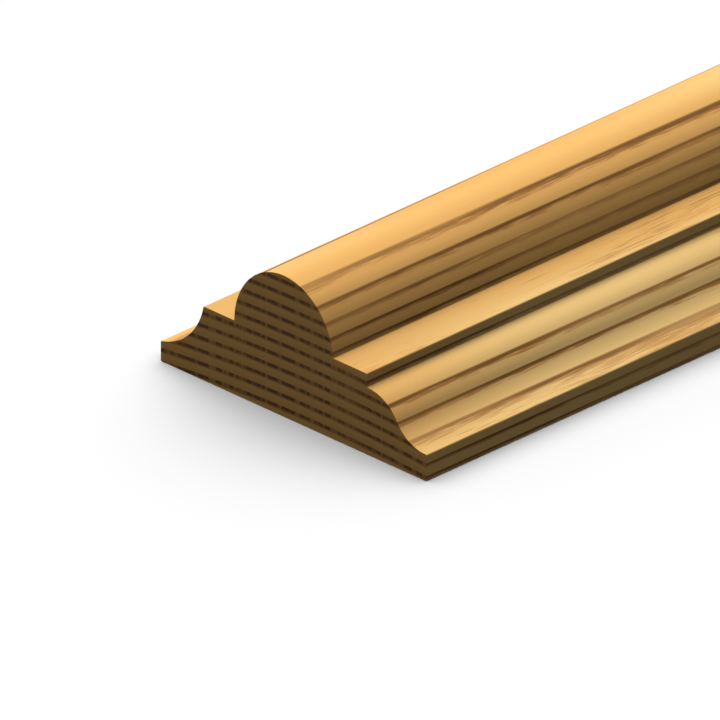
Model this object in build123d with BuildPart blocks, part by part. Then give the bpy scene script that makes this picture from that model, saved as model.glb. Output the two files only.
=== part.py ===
"""Chair rail cap moulding: one straight stick of milled solid wood.

The section lies on its flat back. Across it, from -Y to +Y, run a square edge with an ogee above
it, a flat, a bead that is a little taller than round, a second flat, and a cove down to the other
square edge. The stick runs along X. The origin is the middle of the back.
"""

import os
from math import asin, cos, degrees

from build123d import *

# Driving dimensions, in millimetres
length = 2438.0  # an eight foot stick

# Heights, up from the back
ogee_edge = 5.05  # square edge under the ogee
ogee_rise = 7.65  # from that edge's lip to the top of the ogee
quirk_drop = 2.6  # small upright between the ogee and its flat
cove_edge = 3.8  # square edge under the cove
cove_rise = 10.2  # from that edge's lip to the cove's flat
bead_rise = 12.75  # from the cove's flat to the top of the bead

# Widths, across the back
ogee_run = 14.35
ogee_level = 0.35  # level strips at the foot and the top of the ogee's curve
ogee_flat = 7.9  # from the quirk's lip to the widest part of the bead
bead_width = 23.7
cove_flat = 7.35
cove_run = 10.2

cove_depth = 2.2  # how far the cove dips below a straight slope
arris_radius = 0.25  # the easing of the outside corners

# Levels and places that follow from them
ogee_top = ogee_edge + ogee_rise
ogee_step = ogee_top + quirk_drop
cove_step = cove_edge + cove_rise
width = ogee_run + ogee_flat + bead_width + cove_flat + cove_run

ogee_side = -width / 2
quirk = ogee_side + ogee_run
bead_middle = quirk + ogee_flat + bead_width / 2
cove_lip = bead_middle + bead_width / 2 + cove_flat
cove_side = cove_lip + cove_run

# The bead springs from the cove's flat, and the flat by the ogee meets it a little higher.
bead_start = asin((ogee_step - cove_step) / bead_rise)
bead_foot = bead_middle - bead_width / 2 * cos(bead_start)

# Corners of the section, as (Y, Z)
ogee_heel = (ogee_side, 0)
ogee_nose = (ogee_side, ogee_edge)
ogee_foot = (ogee_side + ogee_level, ogee_edge)
ogee_middle = (ogee_side + ogee_run / 2, ogee_edge + ogee_rise / 2)
ogee_crown = (quirk - ogee_level, ogee_top)
quirk_corner = (quirk, ogee_top)
quirk_nose = (quirk, ogee_step)
cove_nose = (cove_lip, cove_step)
cove_toe = (cove_side, cove_edge)
cove_heel = (cove_side, 0)
outside_corners = [ogee_heel, ogee_nose, quirk_nose, cove_nose, cove_toe, cove_heel]

with BuildPart() as moulding:
    with BuildSketch(Plane.YZ) as section:
        with BuildLine() as outline:
            Line(cove_heel, ogee_heel)
            Line(ogee_heel, ogee_nose)
            # The ogee is two equal arcs, level at both ends, that meet halfway.
            Line(ogee_nose, ogee_foot)
            hollow = TangentArc(ogee_foot, ogee_middle, tangent=(1, 0))
            TangentArc(ogee_middle, ogee_crown, tangent=hollow % 1)
            Line(ogee_crown, quirk_corner)
            Line(quirk_corner, quirk_nose)
            Line(quirk_nose, (bead_foot, ogee_step))
            bead = EllipticalCenterArc(
                center=(bead_middle, cove_step),
                x_radius=bead_width / 2,
                y_radius=bead_rise,
                start_angle=0,
                arc_size=180 - degrees(bead_start),
            )
            Line(bead @ 0, cove_nose)
            SagittaArc(cove_nose, cove_toe, -cove_depth)
            Line(cove_toe, cove_heel)
        make_face()
        corners = section.vertices()
        fillet([corners.sort_by_distance(corner).first for corner in outside_corners], arris_radius)
    extrude(amount=length / 2, both=True)

moulding.part.label = "chair_rail_cap"

os.makedirs("parts", exist_ok=True)
export_step(moulding.part, "parts/chair_rail_cap.step")
print(f"section {width:.2f} by {cove_step + bead_rise:.2f} mm, {section.sketch.area:.1f} mm2")
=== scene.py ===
"""A stick of chair rail cap moulding, milled from pale wood with brown growth layers.

The section is the one the part was built with, drawn again with fine arcs and swept along
the stick. The wood is solid: the layers run through it, so they meet at every corner and on
the sawn ends.
"""

from math import acos, asin, atan2, cos, pi, radians, sin, tan

import bmesh
import bpy
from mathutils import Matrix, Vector


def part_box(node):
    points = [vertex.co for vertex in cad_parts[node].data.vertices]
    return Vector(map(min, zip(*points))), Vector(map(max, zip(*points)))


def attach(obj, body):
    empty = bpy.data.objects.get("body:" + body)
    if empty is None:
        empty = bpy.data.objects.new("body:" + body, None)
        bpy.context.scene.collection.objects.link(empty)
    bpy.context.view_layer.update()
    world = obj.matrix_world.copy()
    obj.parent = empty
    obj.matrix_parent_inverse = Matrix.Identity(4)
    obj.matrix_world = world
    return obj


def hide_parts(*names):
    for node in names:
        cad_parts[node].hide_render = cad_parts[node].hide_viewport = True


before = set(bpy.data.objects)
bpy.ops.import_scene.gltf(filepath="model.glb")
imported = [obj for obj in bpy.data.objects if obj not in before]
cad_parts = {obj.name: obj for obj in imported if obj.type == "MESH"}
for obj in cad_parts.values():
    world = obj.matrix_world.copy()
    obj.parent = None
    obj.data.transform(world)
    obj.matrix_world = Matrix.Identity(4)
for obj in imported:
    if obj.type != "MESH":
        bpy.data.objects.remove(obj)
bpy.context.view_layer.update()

MM = 0.001

# The stick and its section, in millimetres
near_end, far_end = (corner[0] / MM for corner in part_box("chair_rail_cap"))
ogee_edge = 5.05
ogee_rise = 7.65
quirk_drop = 2.6
cove_edge = 3.8
cove_rise = 10.2
bead_rise = 12.75
ogee_run = 14.35
ogee_level = 0.35  # level strips at the foot and the top of the ogee's curve
ogee_flat = 7.9
bead_width = 23.7
cove_flat = 7.35
cove_run = 10.2
cove_depth = 2.2
arris_radius = 0.25
width = ogee_run + ogee_flat + bead_width + cove_flat + cove_run

# How finely the section and the stick are divided
bead_steps = 72
ogee_steps = 18  # each of its two arcs
cove_steps = 24
arris_steps = 4
stick_steps = 48

# The flat map of the finish: the stick's sides below, its two ends side by side above
map_edge = 0.004
sides_share = 0.79
back_share = 0.5  # the back gets half the room of the faces that show
end_scale = 0.0073  # map widths for each millimetre of the ends
near_end_map, far_end_map = 0.25, 0.75  # the middles of the two ends across the map

# Growth layers, in millimetres from the back and the near end
layer_spacing = 2.41
first_layer = 1.86  # height of the lowest layer's dark top over the back, at the middle
layers_middle = -5.25  # the layers are highest here across the section
layers_curve = 733.0  # twice the distance down to the pith
layers_fall = 0.0026  # how much the layers drop along each millimetre
layers_wander = 1.0  # how strongly they stray from that, away from the near end
wander_reach = (60, 400)  # the straying sets in between these distances along the stick
late_top = 0.19  # the dark wood fades out upward over this height
late_softness = 0.18
core_softness = 0.13
early_rises = (0.2, 1.2)  # the early wood grows paler over these heights in a layer
late_rises = (1.4, 1.7)  # and darker again

# Noises in the wood: length, width and height of the lumps in millimetres (0 for none that way),
# then detail, roughness and shift. The shifts were picked to put dark stretches and patches
# about where the photograph has them.
stray_noise = ((260, 70, 70), 1.0)
fibre_noise = ((7, 0.3, 0.4), 2.0, 0.6)
patch_noise = ((40, 6, 12), 1.0, 0.5, (35.9, 46.4, 55.9))
dense_noise = ((60, 3, 0), 1.0, 0.55, (5.8, 4.1, 67.4))
ray_noise = ((36, 1.8, 0), 2.5, 0.65, (31.0, 59.8, 68.2))
drift_noise = ((130, 18, 30), 1.0, 0.4, (64.9, 59.1, 45.3))
hair_noise = ((45, 0.35, 0.35), 1.0)
# A slow random brightness noise, a tone in the wood along most of the stick; its shift makes it
# painted shade near the near end, darker on the flats beside the bead and on the front uprights,
# lighter on the ogee's crown.
tone_and_painted_shade_noise = ((300, 9, 8), 1.0, 0.5, (80.8, 44.9, 58.6))
drift_range = (-0.26, 0.06)  # the tint goes from most to least yellow between these noise values

# Colours of the wood, and tones that its colour is multiplied by
pale_orange = (0.94, 0.515, 0.155)
pale_yellow = (0.985, 0.662, 0.258)
early_tone = (0.856, 0.856, 0.84)
late_wood = (0.57, 0.259, 0.071)
late_core = (0.18, 0.082, 0.026)
untoned = (1.0, 1.0, 1.0)
white = (1.0, 1.0, 1.0, 1.0)

# How the layers show on the planed sides, and on the sawn ends
layer_looks = {
    "Late thickness": (0.55, 0.72),
    "Core share": (0.5, 0.8),
    "Ragged edge": (1.4, 0.3),
    "Patchiness": (0.8, 0.0),
    "Faintest late": (0.58, 0.85),
    "Faintest core": (0.22, 0.12),
    "Darkest core": (0.8, 1.0),
    "Dash cover": (0.0, 0.035),
    "Dash softness": (0.16, 0.08),
    "Rays": (0.0, 1.0),
    "Least yellow": (0.0, 0.2),
    "Most yellow": (1.0, 0.2),
    "Early darkening": (0.25, 1.0),
    # on the planed sides only: random tone, and painted shade near the near end
    "Tone and painted shade": (0.45, 0.0),
    "Fibre contrast": (0.05, 0.03),
}
gloss = (0.02, 0.1)

# The feel of the surface
late_relief = 0.6  # how proud the dark wood stands
early_roughness = 0.66
late_smoothness = 0.08  # the dark wood is this much less rough
relief_strength = 0.25
relief_height = 0.05  # millimetres

# The photograph's view: parallel, in frame widths
view_round = -45.0
view_up = 27.0
frame_width = 121.6  # millimetres across the picture
corner_right = 0.0926  # where the near end's front heel lies, from the middle of the picture
corner_down = 0.1688
camera_distance = 1.5  # metres

# Lights: angles in degrees, lamp strengths in watts for each square metre that faces them
lamp_round = 135.0
lamp_up = 53.5
lamp_spread = 64.0
lamp_strength = 2.62
soft_lamp_strength = 0.76  # of a second one beside it, which casts no shadow
floor_lamp_up = 74.0
floor_lamp_spread = 110.0
floor_lamp_strength = 2.67
fill_strength = 0.2  # of the white surround, which the camera sees at full strength
floor_reach = 8.0  # metres
floor_gap = 0.05  # millimetres below the back


# The section, going round from the front heel along the back, as runs of (place, outward normal)


def straight(start, end):
    """A flat run."""
    way = (end - start).normalized()
    normal = Vector((way.y, -way.x))
    return [(start, normal), (end, normal)]


def round_run(middle, radius, start, end, steps, hollow=False):
    """A run along a circle, from one angle to another. The wood is outside a hollow one."""
    run = []
    for i in range(steps + 1):
        angle = start + (end - start) * i / steps
        out = Vector((cos(angle), sin(angle)))
        run.append((middle + out * radius, -out if hollow else out))
    return run


def oval_run(middle, half_width, height, start, end, steps):
    """A run along an upright oval."""
    run = []
    for i in range(steps + 1):
        angle = start + (end - start) * i / steps
        place = middle + Vector((half_width * cos(angle), height * sin(angle)))
        normal = Vector((cos(angle) / half_width, sin(angle) / height)).normalized()
        run.append((place, normal))
    return run


def trimmed(run, short, at_start):
    """The run without its first or last few tenths of a millimetre."""
    run = list(reversed(run)) if at_start else list(run)
    while len(run) > 2 and (run[-1][0] - run[-2][0]).length <= short:
        short -= (run[-1][0] - run[-2][0]).length
        run.pop()
    (inner, inner_normal), (outer, outer_normal) = run[-2], run[-1]
    share = 1 - short / (outer - inner).length
    normal = inner_normal.lerp(outer_normal, share).normalized()
    run[-1] = (inner.lerp(outer, share), normal)
    return list(reversed(run)) if at_start else run


def eased(before, after):
    """Both runs cut back at the corner between them, and the small round that eases it."""
    turn = acos(max(-1, min(1, before[-1][1].dot(after[0][1]))))
    short = arris_radius * tan(turn / 2)
    before = trimmed(before, short, False)
    after = trimmed(after, short, True)
    start, end = before[-1][1], after[0][1]
    middle = before[-1][0] - start * arris_radius
    first = atan2(start.y, start.x)
    turn = acos(max(-1, min(1, start.dot(end))))
    arris = round_run(middle, arris_radius, first, first + turn, arris_steps)
    arris[0], arris[-1] = before[-1], after[0]
    return before, arris, after


def section_runs():
    """All the runs of the section, in order."""
    ogee_side, cove_side = -width / 2, width / 2
    ogee_top = ogee_edge + ogee_rise
    ogee_step = ogee_top + quirk_drop
    cove_step = cove_edge + cove_rise
    quirk = ogee_side + ogee_run
    bead_middle = quirk + ogee_flat + bead_width / 2
    cove_lip = cove_side - cove_run

    ogee_heel = Vector((ogee_side, 0))
    ogee_nose = Vector((ogee_side, ogee_edge))
    quirk_corner = Vector((quirk, ogee_top))
    quirk_nose = Vector((quirk, ogee_step))
    cove_nose = Vector((cove_lip, cove_step))
    cove_toe = Vector((cove_side, cove_edge))
    cove_heel = Vector((cove_side, 0))

    back = straight(ogee_heel, cove_heel)
    cove_upright = straight(cove_heel, cove_toe)

    # The cove's circle passes through its toe and its nose and dips below their straight line.
    chord = cove_nose - cove_toe
    cove_radius = (chord.length**2 / 4 + cove_depth**2) / (2 * cove_depth)
    away = Vector((chord.y, -chord.x)).normalized()
    cove_centre = (cove_toe + cove_nose) / 2 + away * (cove_radius - cove_depth)
    toe_angle = atan2(cove_toe.y - cove_centre.y, cove_toe.x - cove_centre.x)
    cove_sweep = 2 * asin(chord.length / 2 / cove_radius)
    nose_angle = toe_angle - cove_sweep
    cove = round_run(cove_centre, cove_radius, toe_angle, nose_angle, cove_steps, hollow=True)

    bead_foot_angle = pi - asin((ogee_step - cove_step) / bead_rise)
    bead_centre = Vector((bead_middle, cove_step))
    bead = oval_run(bead_centre, bead_width / 2, bead_rise, 0, bead_foot_angle, bead_steps)
    cove_flat_run = straight(cove_nose, bead[0][0])
    ogee_flat_run = straight(bead[-1][0], quirk_nose)
    quirk_upright = straight(quirk_nose, quirk_corner)

    # The ogee is two equal arcs, level at both ends, that meet halfway.
    half_run, half_rise = ogee_run / 2 - ogee_level, ogee_rise / 2
    ogee_radius = (half_run**2 + half_rise**2) / (2 * half_rise)
    ogee_sweep = 2 * atan2(half_rise, half_run)
    crown_centre = quirk_corner - Vector((ogee_level, ogee_radius))
    crown = round_run(crown_centre, ogee_radius, pi / 2, pi / 2 + ogee_sweep, ogee_steps)
    hollow_centre = ogee_nose + Vector((ogee_level, ogee_radius))
    hollow_start = ogee_sweep - pi / 2
    hollow = round_run(hollow_centre, ogee_radius, hollow_start, -pi / 2, ogee_steps, hollow=True)
    crown_strip = straight(quirk_corner, crown[0][0])
    foot_strip = straight(hollow[-1][0], ogee_nose)
    ogee_upright = straight(ogee_nose, ogee_heel)

    back, cove_heel_arris, cove_upright = eased(back, cove_upright)
    cove_upright, cove_toe_arris, cove = eased(cove_upright, cove)
    cove, cove_nose_arris, cove_flat_run = eased(cove, cove_flat_run)
    ogee_flat_run, quirk_arris, quirk_upright = eased(ogee_flat_run, quirk_upright)
    foot_strip, ogee_nose_arris, ogee_upright = eased(foot_strip, ogee_upright)
    ogee_upright, ogee_heel_arris, back = eased(ogee_upright, back)
    return [
        back,
        cove_heel_arris,
        cove_upright,
        cove_toe_arris,
        cove,
        cove_nose_arris,
        cove_flat_run,
        bead,
        ogee_flat_run,
        quirk_arris,
        quirk_upright,
        crown_strip,
        crown,
        hollow,
        foot_strip,
        ogee_nose_arris,
        ogee_upright,
        ogee_heel_arris,
    ]


# The stick


def milled_stick(planed_wood, sawn_end):
    """The stick as one closed mesh, with the true curves' normals and a flat map for its finish."""
    runs = section_runs()
    places = [place for run in runs for place, normal in run[:-1]]
    sides = []  # the two normals of each strip along the stick
    for run in runs:
        for (_, normal), (_, next_normal) in zip(run, run[1:]):
            sides.append((normal, next_normal))
    count = len(places)
    walk = [0.0]
    for i in range(count):
        step = (places[(i + 1) % count] - places[i]).length
        walk.append(walk[-1] + step * (back_share if i == 0 else 1))

    mesh = bpy.data.meshes.new("milled_stick")
    build = bmesh.new()
    flat_map = build.loops.layers.uv.new("OFBake")
    rings = []
    for j in range(stick_steps + 1):
        x = near_end + (far_end - near_end) * j / stick_steps
        rings.append([build.verts.new(Vector((x, p.x, p.y)) * MM) for p in places])
    normals = []
    for j in range(stick_steps):
        for i in range(count):
            k = (i + 1) % count
            face = build.faces.new((rings[j][i], rings[j][k], rings[j + 1][k], rings[j + 1][i]))
            face.material_index = 0
            corners = ((j, i), (j, i + 1), (j + 1, i + 1), (j + 1, i))
            for loop, (along, around) in zip(face.loops, corners):
                u = map_edge + (1 - 2 * map_edge) * along / stick_steps
                v = map_edge + (sides_share - 2 * map_edge) * walk[around] / walk[-1]
                loop[flat_map].uv = (u, v)
                normal = sides[i][around - i]
                normals.append(Vector((0, normal.x, normal.y)))
    for ring, outward, middle in ((rings[0], -1, near_end_map), (rings[-1], 1, far_end_map)):
        order = ring if outward > 0 else list(reversed(ring))
        face = build.faces.new(order)
        face.material_index = 1
        for loop in face.loops:
            place = loop.vert.co / MM
            u = middle + place.y * end_scale
            v = sides_share + map_edge + place.z * end_scale
            loop[flat_map].uv = (u, v)
            normals.append(Vector((outward, 0, 0)))
    for face in build.faces:
        face.smooth = True
    build.to_mesh(mesh)
    build.free()
    mesh.normals_split_custom_set(normals)
    mesh.materials.append(planed_wood)
    mesh.materials.append(sawn_end)
    stick = bpy.data.objects.new("milled_stick", mesh)
    bpy.context.scene.collection.objects.link(stick)
    return stick


# The wood


def calc(tree, operation, first, second=None, third=None):
    """One step of arithmetic on sockets or plain numbers."""
    node = tree.nodes.new("ShaderNodeMath")
    node.operation = operation
    for socket, value in zip(node.inputs, (first, second, third)):
        if value is None:
            continue
        if isinstance(value, (int, float)):
            socket.default_value = value
        else:
            tree.links.new(value, socket)
    return node.outputs[0]


def fade(tree, value, low, high, start=0.0, end=1.0):
    """A smooth change from start to end while the value goes from low to high."""
    node = tree.nodes.new("ShaderNodeMapRange")
    node.interpolation_type = "SMOOTHSTEP"
    names = ("Value", "From Min", "From Max", "To Min", "To Max")
    for name, given in zip(names, (value, low, high, start, end)):
        if isinstance(given, (int, float)):
            node.inputs[name].default_value = given
        else:
            tree.links.new(given, node.inputs[name])
    return node.outputs["Result"]


def band(tree, value, middle, softness):
    """One below the middle, zero above it, with a soft change of that half width."""
    low = calc(tree, "SUBTRACT", middle, softness)
    high = calc(tree, "ADD", middle, softness)
    return fade(tree, value, low, high, 1.0, 0.0)


def cloud(tree, place, size, detail=0.0, roughness=0.5, shift=(0.0, 0.0, 0.0)):
    """Soft noise about zero, whose lumps have the given length, width and height in millimetres."""
    scaled = tree.nodes.new("ShaderNodeVectorMath")
    scaled.operation = "MULTIPLY_ADD"
    tree.links.new(place, scaled.inputs[0])
    scaled.inputs[1].default_value = [1 / s if s else 0.0 for s in size]
    scaled.inputs[2].default_value = shift
    noise = tree.nodes.new("ShaderNodeTexNoise")
    noise.inputs["Scale"].default_value = 1.0
    noise.inputs["Detail"].default_value = detail
    noise.inputs["Roughness"].default_value = roughness
    tree.links.new(scaled.outputs[0], noise.inputs["Vector"])
    return calc(tree, "SUBTRACT", noise.outputs["Fac"], 0.5)


def between(tree, share, least, most):
    """The value that lies this share of the way from the least to the most."""
    room = calc(tree, "SUBTRACT", most, least)
    return calc(tree, "MULTIPLY_ADD", share, room, least)


def blend(tree, amount, under, over):
    """One colour laid over another."""
    node = tree.nodes.new("ShaderNodeMix")
    node.data_type = "RGBA"
    tree.links.new(amount, node.inputs["Factor"])
    for socket, colour in ((node.inputs["A"], under), (node.inputs["B"], over)):
        if isinstance(colour, tuple):
            socket.default_value = (*colour, 1.0)
        else:
            tree.links.new(colour, socket)
    return node.outputs["Result"]


def toned(tree, colour, tone):
    """A colour multiplied by another."""
    node = tree.nodes.new("ShaderNodeVectorMath")
    node.operation = "MULTIPLY"
    tree.links.new(colour, node.inputs[0])
    tree.links.new(tone, node.inputs[1])
    return node.outputs[0]


def growth_layers():
    """The solid wood: its colour, with some painted shade in it, and a relief and a roughness that
    follow the layers.
    """
    tree = bpy.data.node_groups.new("growth_layers", "ShaderNodeTree")
    for name in layer_looks:
        tree.interface.new_socket(name, in_out="INPUT", socket_type="NodeSocketFloat")
    tree.interface.new_socket("Colour", in_out="OUTPUT", socket_type="NodeSocketColor")
    tree.interface.new_socket("Relief", in_out="OUTPUT", socket_type="NodeSocketFloat")
    tree.interface.new_socket("Roughness", in_out="OUTPUT", socket_type="NodeSocketFloat")
    given = tree.nodes.new("NodeGroupInput").outputs
    result = tree.nodes.new("NodeGroupOutput").inputs

    # Places in millimetres, counted along from the near end
    where = tree.nodes.new("ShaderNodeTexCoord").outputs["Object"]
    from_end = tree.nodes.new("ShaderNodeVectorMath")
    from_end.operation = "MULTIPLY_ADD"
    tree.links.new(where, from_end.inputs[0])
    from_end.inputs[1].default_value = (1 / MM,) * 3
    from_end.inputs[2].default_value = (-near_end, 0, 0)
    place = from_end.outputs[0]
    split = tree.nodes.new("ShaderNodeSeparateXYZ")
    tree.links.new(place, split.inputs[0])
    along, across, height = split.outputs

    # The layers are domed, fall along the stick and stray a little.
    off_middle = calc(tree, "SUBTRACT", across, layers_middle)
    dome = calc(tree, "DIVIDE", calc(tree, "MULTIPLY", off_middle, off_middle), layers_curve)
    fall = calc(tree, "MULTIPLY", along, layers_fall)
    stray = cloud(tree, place, *stray_noise)
    stray = calc(tree, "MULTIPLY", stray, fade(tree, along, *wander_reach, 0.0, layers_wander))
    level = calc(tree, "ADD", calc(tree, "ADD", height, dome), calc(tree, "ADD", fall, stray))
    count = calc(tree, "DIVIDE", calc(tree, "SUBTRACT", level, first_layer), layer_spacing)
    rise = calc(tree, "MULTIPLY", calc(tree, "FRACT", count), layer_spacing)
    depth = calc(tree, "SUBTRACT", layer_spacing, rise)

    # The late wood's lower edge is ragged: fibres run along the stick, and some reach lower.
    fibre = cloud(tree, place, *fibre_noise)
    patch = cloud(tree, place, *patch_noise)
    thickness = calc(tree, "MULTIPLY_ADD", fibre, given["Ragged edge"], given["Late thickness"])
    thickness = calc(tree, "MULTIPLY_ADD", patch, given["Patchiness"], thickness)
    top = fade(tree, rise, 0.0, late_top, 1.0, 0.0)
    late = calc(tree, "MAXIMUM", band(tree, depth, thickness, late_softness), top)
    core_thickness = calc(tree, "MULTIPLY", thickness, given["Core share"])
    core = calc(tree, "MAXIMUM", band(tree, depth, core_thickness, core_softness), top)

    # It is denser here and there along the stick. On the ends, upright rays break it into dashes.
    dense = cloud(tree, place, *dense_noise)
    ray = cloud(tree, place, *ray_noise)
    broken = calc(tree, "MULTIPLY_ADD", calc(tree, "SUBTRACT", ray, dense), given["Rays"], dense)
    dash = band(tree, broken, given["Dash cover"], given["Dash softness"])
    late = calc(tree, "MULTIPLY", late, between(tree, dash, given["Faintest late"], 1.0))
    core_strength = between(tree, dash, given["Faintest core"], given["Darkest core"])
    core = calc(tree, "MULTIPLY", core, core_strength)

    # The early wood is palest halfway up a layer, and its tint drifts along the stick.
    drift = cloud(tree, place, *drift_noise)
    drift = fade(tree, drift, *drift_range, given["Most yellow"], given["Least yellow"])
    colour = blend(tree, drift, pale_orange, pale_yellow)
    crest = fade(tree, rise, *early_rises)
    crest = calc(tree, "MULTIPLY", crest, fade(tree, rise, *late_rises, 1.0, 0.0))
    shade = calc(tree, "MULTIPLY", calc(tree, "SUBTRACT", 1.0, crest), given["Early darkening"])
    colour = toned(tree, colour, blend(tree, shade, untoned, early_tone))
    hair = cloud(tree, place, *hair_noise)
    hair = calc(tree, "MULTIPLY", hair, given["Fibre contrast"])
    # A slow brightness noise: random tone along the stick, and painted shade near the near end,
    # darker beside the bead and on the front uprights, lighter on the crown.
    tone_and_painted_shade = cloud(tree, place, *tone_and_painted_shade_noise)
    tone_and_painted_shade = calc(tree, "MULTIPLY", tone_and_painted_shade, given["Tone and painted shade"])
    brightness = calc(tree, "SUBTRACT", calc(tree, "ADD", hair, 1.0), tone_and_painted_shade)
    bright = tree.nodes.new("ShaderNodeVectorMath")
    bright.operation = "SCALE"
    tree.links.new(colour, bright.inputs[0])
    tree.links.new(brightness, bright.inputs["Scale"])
    colour = blend(tree, late, bright.outputs[0], late_wood)
    colour = blend(tree, core, colour, late_core)
    tree.links.new(colour, result["Colour"])
    relief = calc(tree, "MULTIPLY_ADD", late, late_relief, hair)
    roughness = calc(tree, "MULTIPLY_ADD", late, -late_smoothness, early_roughness)
    tree.links.new(relief, result["Relief"])
    tree.links.new(roughness, result["Roughness"])
    return tree


def wood_material(name, layers, sawn):
    """A matte wood finish around the growth layers, with its own values for them."""
    material = bpy.data.materials.new(name)
    material.use_nodes = True
    tree = material.node_tree
    finish = tree.nodes["Principled BSDF"]
    finish.inputs["Specular IOR Level"].default_value = gloss[1] if sawn else gloss[0]
    wood = tree.nodes.new("ShaderNodeGroup")
    wood.node_tree = layers
    for socket, looks in layer_looks.items():
        wood.inputs[socket].default_value = looks[1] if sawn else looks[0]
    bump = tree.nodes.new("ShaderNodeBump")
    bump.inputs["Strength"].default_value = relief_strength
    bump.inputs["Distance"].default_value = relief_height * MM
    tree.links.new(wood.outputs["Colour"], finish.inputs["Base Color"])
    tree.links.new(wood.outputs["Roughness"], finish.inputs["Roughness"])
    tree.links.new(wood.outputs["Relief"], bump.inputs["Height"])
    tree.links.new(bump.outputs["Normal"], finish.inputs["Normal"])
    return material


# The studio


def towards(round_angle, up_angle):
    """The direction from the stick to something round it and up, in degrees."""
    a, e = radians(round_angle), radians(up_angle)
    return Vector((sin(a) * cos(e), -cos(a) * cos(e), sin(e)))


def place_camera():
    """A parallel view of the near end, at the photograph's angle and framing."""
    data = bpy.data.cameras.new("camera")
    data.type = "ORTHO"
    data.ortho_scale = frame_width * MM
    back = towards(view_round, view_up)
    turn = (-back).to_track_quat("-Z", "Y")
    right, up = turn @ Vector((1, 0, 0)), turn @ Vector((0, 1, 0))
    heel = Vector((near_end, -width / 2, 0)) * MM
    aim = heel + (up * corner_down - right * corner_right) * frame_width * MM
    camera = bpy.data.objects.new("camera", data)
    camera.rotation_mode = "QUATERNION"
    camera.rotation_quaternion = turn
    camera.location = aim + back * camera_distance
    bpy.context.scene.collection.objects.link(camera)
    bpy.context.scene.camera = camera


def wide_lamp(name, up_angle, spread, strength, lit, shadow=True):
    """A wide lamp behind the stick that lights one thing alone."""
    data = bpy.data.lights.new(name, "SUN")
    data.energy = strength
    data.angle = radians(spread)
    data.use_shadow = shadow
    lamp = bpy.data.objects.new(name, data)
    lamp.rotation_mode = "QUATERNION"
    lamp.rotation_quaternion = towards(lamp_round, up_angle).to_track_quat("Z", "Y")
    bpy.context.scene.collection.objects.link(lamp)
    reach = bpy.data.collections.new(name + "_reach")
    reach.objects.link(lit)
    lamp.light_linking.receiver_collection = reach


def surround():
    """A white surround that fills the shadows faintly."""
    world = bpy.data.worlds.new("surround")
    bpy.context.scene.world = world
    world.use_nodes = True
    tree = world.node_tree
    path = tree.nodes.new("ShaderNodeLightPath").outputs
    seen = calc(tree, "MAXIMUM", path["Is Camera Ray"], path["Is Glossy Ray"])
    seen = calc(tree, "MAXIMUM", seen, path["Is Transmission Ray"])
    sky = tree.nodes["Background"]
    sky.inputs["Color"].default_value = white
    strength = calc(tree, "MULTIPLY_ADD", seen, 1 - fill_strength, fill_strength)
    tree.links.new(strength, sky.inputs["Strength"])


def pale_floor():
    """A white floor that takes the stick's soft shadow."""
    mesh = bpy.data.meshes.new("floor")
    build = bmesh.new()
    bmesh.ops.create_grid(build, x_segments=1, y_segments=1, size=floor_reach)
    build.to_mesh(mesh)
    build.free()
    floor = bpy.data.objects.new("floor", mesh)
    floor.location.z = -floor_gap * MM
    bpy.context.scene.collection.objects.link(floor)
    material = bpy.data.materials.new("floor")
    material.use_nodes = True
    tree = material.node_tree
    tree.nodes.clear()
    paper = tree.nodes.new("ShaderNodeBsdfDiffuse")
    paper.inputs["Color"].default_value = white
    output = tree.nodes.new("ShaderNodeOutputMaterial")
    tree.links.new(paper.outputs[0], output.inputs["Surface"])
    mesh.materials.append(material)
    return floor


bpy.context.scene.view_settings.view_transform = "Standard"
# Faces don't brighten each other, so hollows and uprights stay as dark as in the photograph.
bpy.context.scene.cycles.diffuse_bounces = 0

layers = growth_layers()
planed_wood = wood_material("planed_wood", layers, sawn=False)
sawn_end = wood_material("sawn_end", layers, sawn=True)
stick = milled_stick(planed_wood, sawn_end)
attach(stick, "root")
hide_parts("chair_rail_cap")

place_camera()
floor = pale_floor()
wide_lamp("lamp", lamp_up, lamp_spread, lamp_strength, stick)
wide_lamp("soft_lamp", lamp_up, lamp_spread, soft_lamp_strength, stick, shadow=False)
wide_lamp("floor_lamp", floor_lamp_up, floor_lamp_spread, floor_lamp_strength, floor)
surround()
